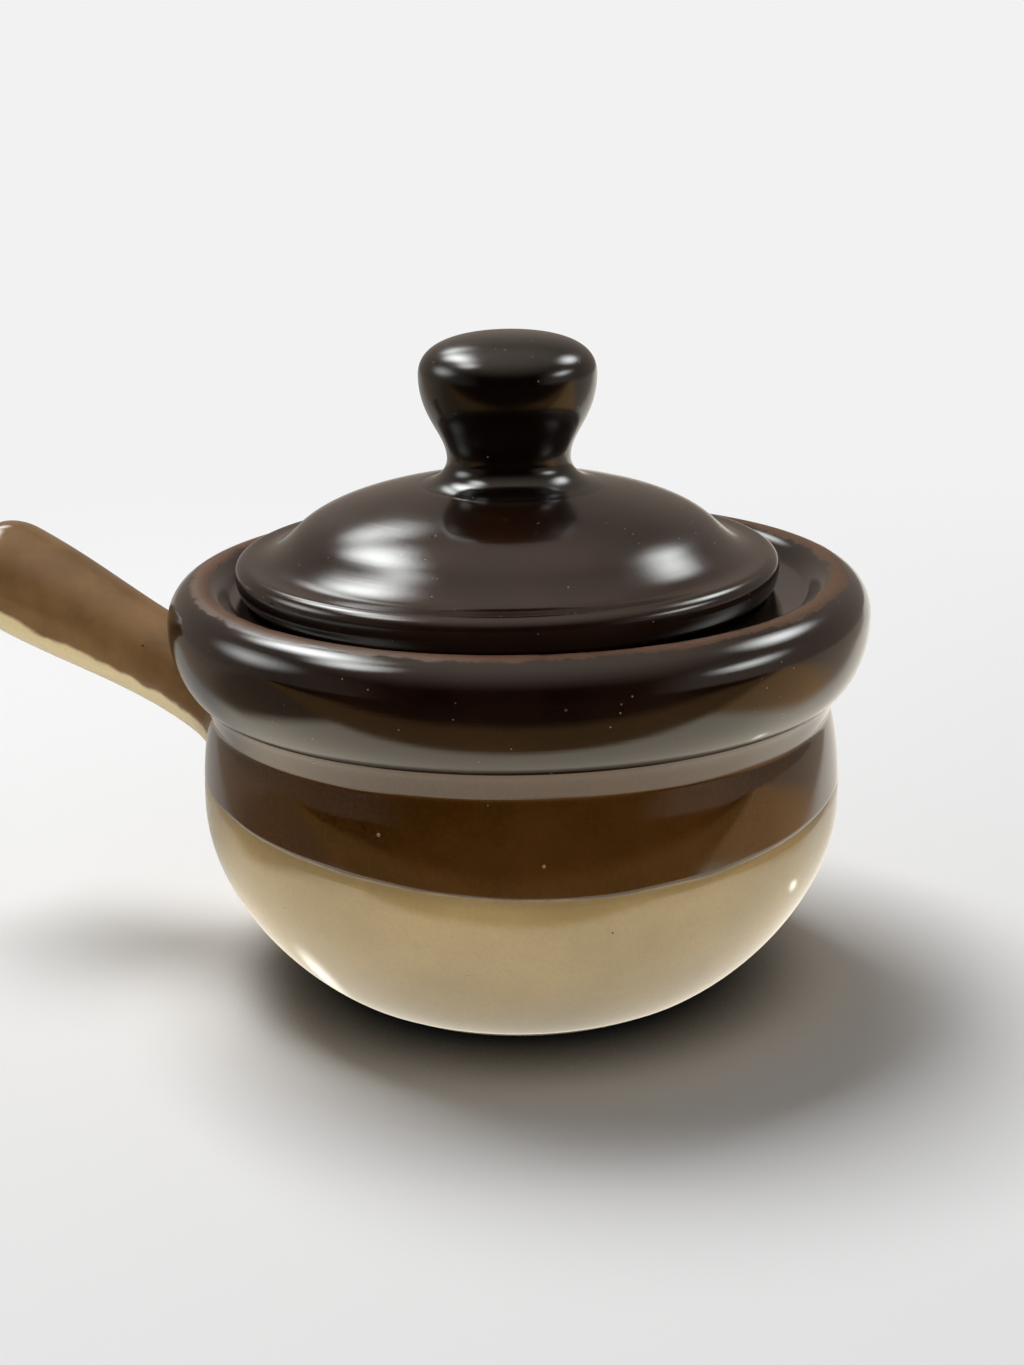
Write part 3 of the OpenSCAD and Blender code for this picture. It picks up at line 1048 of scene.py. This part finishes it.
def gloss_tent():
    """A dome that only shows in the gloss: warm top, soft lights on both sides, dark in front."""
    shell = bmesh.new()
    sides = 360 // TENT_STEP
    rings = []
    for low in range(0, 90, TENT_STEP):
        across, up = TENT_RADIUS * math.cos(math.radians(low)), TENT_RADIUS * math.sin(math.radians(low))
        ring = []
        for i in range(sides):
            angle = math.radians(i * TENT_STEP)
            ring.append(shell.verts.new((across * math.cos(angle), across * math.sin(angle), up)))
        rings.append(ring)
    rings.append([shell.verts.new((0.0, 0.0, TENT_RADIUS))])
    for low, high in zip(rings, rings[1:]):
        join_rings(shell, low, high, sides)
    tent = finished("mirrored_room", shell)
    glow_felt, tree = bare_tree("room_walls")
    place = node(tree, "ShaderNodeTexCoord").outputs["Object"]
    direction = node(tree, "ShaderNodeVectorMath", {0: place}, operation="NORMALIZE").outputs[0]
    axes = node(tree, "ShaderNodeSeparateXYZ", {0: direction})
    ahead = spread(tree, axes.outputs[1], 0.25, -0.35)
    above = sums(tree, "MAXIMUM", sums(tree, "SUBTRACT", axes.outputs[2], 0.42), 0.0)
    top = sums(tree, "MULTIPLY", sums(tree, "POWER", above, 1.5), 2.2)
    right = spread(tree, axes.outputs[0], 0.55, 0.9, 0.0, 0.5)
    left = spread(tree, axes.outputs[0], -0.55, -0.9, 0.0, 0.25)
    side = sums(tree, "MAXIMUM", right, left)
    level = sums(tree, "MAXIMUM", top, node(tree, "ShaderNodeMix", {0: ahead, 2: 0.34, 3: side}).outputs[0])
    lights = glows(tree, direction, SHEEN_LIGHTS)
    shining(tree, (1.0, 0.83, 0.7, 1.0), level, (0.96, 1.0, 0.99, 1.0), lights)
    tent.data.materials.append(glow_felt)
    return tent


def gloss_ground():
    """Glowing ground that only shows in the gloss as painted reflections: a pale board under the crock, brown
    in front and then dark.
    """
    shell = bmesh.new()
    corners = ((-1, -1), (1, -1), (1, 1), (-1, 1))
    shell.faces.new([shell.verts.new((x * GROUND_REACH, y * GROUND_REACH, GROUND_LIFT)) for x, y in corners])
    ground = finished("mirrored_ground", shell)
    glow_felt, tree = bare_tree("glowing_ground_cloth")
    place = node(tree, "ShaderNodeTexCoord").outputs["Object"]
    axes = node(tree, "ShaderNodeSeparateXYZ", {0: place})
    across, deep = axes.outputs[0], axes.outputs[1]
    away = span(tree, place)
    right = spread(tree, across, -0.1, 0.1)
    board = blend(tree, spread(tree, deep, -0.04, 0.06), BOARD_FRONT, blend(tree, right, *BOARD_BEHIND))
    beside_front, beside_behind = blend(tree, right, *BESIDE_FRONT), blend(tree, right, *BESIDE_BEHIND)
    beside = blend(tree, spread(tree, deep, 0.0, 0.08), beside_front, beside_behind)
    widening = sums(tree, "MULTIPLY", sums(tree, "MAXIMUM", deep, 0.0), 0.6)
    edge = sums(tree, "SUBTRACT", sums(tree, "ABSOLUTE", across, 0.0), widening)
    near = blend(tree, spread(tree, edge, 0.14, 0.105), beside, board)
    ahead = blend(tree, spread(tree, deep, -0.19, -0.14), DARK_FRONT, STRIP_FRONT)
    tone = blend(tree, spread(tree, deep, -0.1, -0.085), ahead, near)
    # Painted shade: the glowing ground is dimmer close round the crock's axis, so the reflections darken
    # there.
    shade = spread(tree, away, 0.03, 0.065, 0.6, 1.0)
    # The painted glints are added to the ground's glow here.
    shining(tree, tone, shade, (1.0, 0.99, 0.9, 1.0), glows(tree, place, GLINTS))
    ground.data.materials.append(glow_felt)
    return ground


class CROCK_OT_stage(bpy.types.Operator):
    """Set the floor, the light and the camera"""

    bl_idname = "crock.stage"
    bl_label = "Stage"

    def execute(self, context):
        s = settings().stage
        scene = context.scene
        turn = Matrix.Rotation(s.azimuth, 4, "Z")

        floor = self.lay_floor(scene, s.floor)
        self.light_world(scene, s.floor)
        middle = Vector((0, 0, 0.08))
        crock = bpy.data.collections.new("lit_from_front")
        for made in bpy.data.objects:
            if made.type == "MESH" and made != floor:
                crock.objects.link(made)
        key = soft_box("key_box", turn @ Vector((-0.3, 0.36, 1.15)), middle, 0.65, 0.65, 13.0)
        front = soft_box("front_box", turn @ Vector((0.2, -1.05, 0.15)), middle, 1.2, 0.8, 5.5)
        low, aim = turn @ Vector((0, -0.2, 0.004)), turn @ Vector((0, -0.16, 0.1))
        bounce = soft_box("bounce_card", low, aim, 0.5, 0.24, 0.25)
        for lamp in (front, bounce):
            lamp.light_linking.receiver_collection = crock
            lamp.data.cycles.max_bounces = 0
        for lamp in (key, front, bounce):
            lamp.visible_glossy = False
        for card in (gloss_tent(), gloss_ground()):
            card.matrix_world = turn
            for kind in ("camera", "diffuse", "shadow", "transmission"):
                setattr(card, "visible_" + kind, False)
        self.set_camera(scene, s, turn)
        scene.view_settings.view_transform = "Standard"
        return {"FINISHED"}

    def lay_floor(self, scene, colour):
        """A pale disc that keeps the crock's shadow, with a painted shade darkening its colour where the
        crock stands close over it, and is even further away.
        """
        shell = bmesh.new()
        bmesh.ops.create_circle(shell, cap_ends=True, segments=96, radius=FLOOR_RADIUS)
        mesh = bpy.data.meshes.new("floor")
        shell.to_mesh(mesh)
        shell.free()
        floor = bpy.data.objects.new("floor", mesh)
        scene.collection.objects.link(floor)
        paper, tree = bare_tree("floor_paper")
        place = node(tree, "ShaderNodeTexCoord").outputs["Object"]
        far = span(tree, place)
        rays = node(tree, "ShaderNodeLightPath").outputs
        mirrored = sums(tree, "MAXIMUM", rays["Is Glossy Ray"], rays["Is Transmission Ray"])
        distant = sums(tree, "MULTIPLY", rays["Is Camera Ray"], spread(tree, far, 0.14, 0.5))
        share = sums(tree, "MAXIMUM", mirrored, distant)
        # Painted shade: the floor's colour turns to a cool dark grey where the crock shuts out the sky close
        # by.
        open_sky = node(tree, "ShaderNodeAmbientOcclusion", {"Distance": 0.022}, samples=8).outputs["AO"]
        floor_tone_with_painted_shade = blend(tree, spread(tree, open_sky, 0.12, 0.75), (0.05, 0.06, 0.075, 1.0), rgba(colour))
        lit = node(tree, "ShaderNodeBsdfDiffuse", {"Color": floor_tone_with_painted_shade})
        even = node(tree, "ShaderNodeEmission", {"Color": rgba(colour), "Strength": 1.0})
        both = node(tree, "ShaderNodeMixShader", {0: share, 1: lit.outputs[0], 2: even.outputs[0]})
        node(tree, "ShaderNodeOutputMaterial", {0: both.outputs[0]})
        mesh.materials.append(paper)
        return floor

    def light_world(self, scene, colour):
        """A weak even fill, behind which the background is seen as pale as the floor."""
        world = bpy.data.worlds.new("studio")
        scene.world = world
        world.use_nodes = True
        tree = world.node_tree
        tree.nodes.clear()
        seen = seen_rays(tree)
        fill = node(tree, "ShaderNodeBackground", {"Color": (1, 1, 1, 1), "Strength": 0.22})
        pale = node(tree, "ShaderNodeBackground", {"Color": rgba(colour), "Strength": 1.0})
        both = node(tree, "ShaderNodeMixShader", {0: seen, 1: fill.outputs[0], 2: pale.outputs[0]})
        node(tree, "ShaderNodeOutputWorld", {0: both.outputs[0]})

    def set_camera(self, scene, s, turn):
        data = bpy.data.cameras.new("camera")
        camera = bpy.data.objects.new("camera", data)
        scene.collection.objects.link(camera)
        data.sensor_width = 36.0
        data.lens = s.lens
        data.clip_start, data.clip_end = 0.01, 50.0
        back = Vector((0, -math.cos(s.elevation), math.sin(s.elevation)))
        camera.location = turn @ (Vector((0, 0, s.aim_height)) + back * s.distance)
        look = Matrix.Rotation(math.pi / 2 - s.elevation - s.tilt, 4, "X")
        lean = Matrix.Rotation(s.roll, 4, "Z")
        swing = Matrix.Rotation(s.swing, 4, "Z")
        camera.rotation_mode = "QUATERNION"
        camera.rotation_quaternion = (turn @ swing @ look @ lean).to_quaternion()
        scene.camera = camera


class CROCK_PT_panel(bpy.types.Panel):
    """Lists the steps that build the crock"""

    bl_idname = "CROCK_PT_panel"
    bl_label = "Soup crock"
    bl_space_type = "VIEW_3D"
    bl_region_type = "UI"
    bl_category = "Crock"

    def draw(self, context):
        for step in STEPS:
            self.layout.operator(step.bl_idname)
        for group in ("bowl", "handle", "lid", "colours", "stage"):
            box = self.layout.box()
            chosen = getattr(settings(), group)
            for key in chosen.__annotations__:
                box.prop(chosen, key)


STEPS = (CROCK_OT_bowl, CROCK_OT_coats, CROCK_OT_handle, CROCK_OT_lid, CROCK_OT_knob, CROCK_OT_stage)
GROUPS = (CrockBowlSizes, CrockHandleSizes, CrockLidSizes, CrockColours, CrockStage, CrockSettings)


def register():
    for one in GROUPS + STEPS + (CROCK_PT_panel,):
        bpy.utils.register_class(one)
    bpy.types.Scene.crock = bpy.props.PointerProperty(type=CrockSettings)


def unregister():
    del bpy.types.Scene.crock
    for one in reversed(GROUPS + STEPS + (CROCK_PT_panel,)):
        bpy.utils.unregister_class(one)


def main():
    register()
    for step in (
        bpy.ops.crock.bowl,
        bpy.ops.crock.coats,
        bpy.ops.crock.handle,
        bpy.ops.crock.lid,
        bpy.ops.crock.knob,
        bpy.ops.crock.stage,
    ):
        step()


if __name__ == "__main__":
    main()
